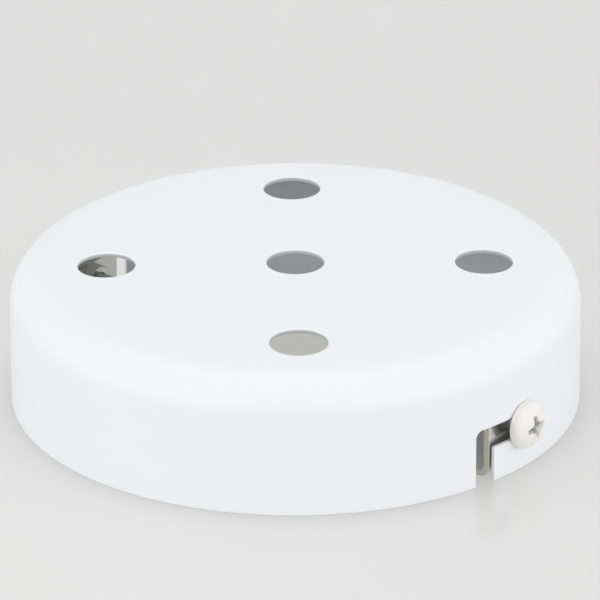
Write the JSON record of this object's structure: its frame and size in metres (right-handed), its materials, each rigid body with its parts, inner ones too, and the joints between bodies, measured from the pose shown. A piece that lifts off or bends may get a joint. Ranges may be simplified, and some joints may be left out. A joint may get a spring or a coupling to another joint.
{
  "type": "ceiling rose",
  "caption": "Round pressed-steel ceiling rose for several pendant lamp cables, on a folded mounting strap with side screws in bayonet slots.",
  "frame": {"origin": "on the cup's axis, in the plane of its rim, which is the ceiling plane and the underside of the strap", "axes": "+Z away from the ceiling along the cup's axis, +X along the strap towards side_screw_1"},
  "size_m": [0.1062, 0.1, 0.025],
  "materials": {
    "powder_coated_steel": "satin white powder coat on deep-drawn steel sheet",
    "plated_strap_steel": "bright nickel-plated steel strip",
    "painted_screw_steel": "warm white paint on the head, zinc in the recess and on the thread",
    "zinc_plated_steel": "bright zinc plate",
    "clamp_brass": "stamped brass, plain"
  },
  "bodies": {
    "strap": {"mounting_strap": "plated_strap_steel", "earth_lock_washer": "zinc_plated_steel", "earth_clamp": "clamp_brass"},
    "cover": {"cover": "powder_coated_steel"},
    "side_screw_1": {"side_screw_1": "painted_screw_steel"},
    "side_screw_2": {"side_screw_2": "painted_screw_steel"},
    "earth_screw": {"earth_screw": "zinc_plated_steel"}
  },
  "joints": [
    {"name": "cover_turn", "type": "hinge", "parent": "strap", "child": "cover", "pos_m": [0, 0, 0], "axis": [0, 0, 1], "range_deg": [0, 11]},
    {"name": "side_screw_1_turn", "type": "hinge", "parent": "strap", "child": "side_screw_1", "pos_m": [0.0501, 0, 0.0084], "axis": [1, 0, 0], "range_deg": [0, 720]},
    {"name": "side_screw_2_turn", "type": "hinge", "parent": "strap", "child": "side_screw_2", "pos_m": [-0.0501, 0, 0.0084], "axis": [-1, 0, 0], "range_deg": [0, 720]},
    {"name": "earth_screw_turn", "type": "hinge", "parent": "strap", "child": "earth_screw", "pos_m": [-0.03652, 0, 0.00525], "axis": [0, 0, 1], "range_deg": [0, 720]}
  ]
}
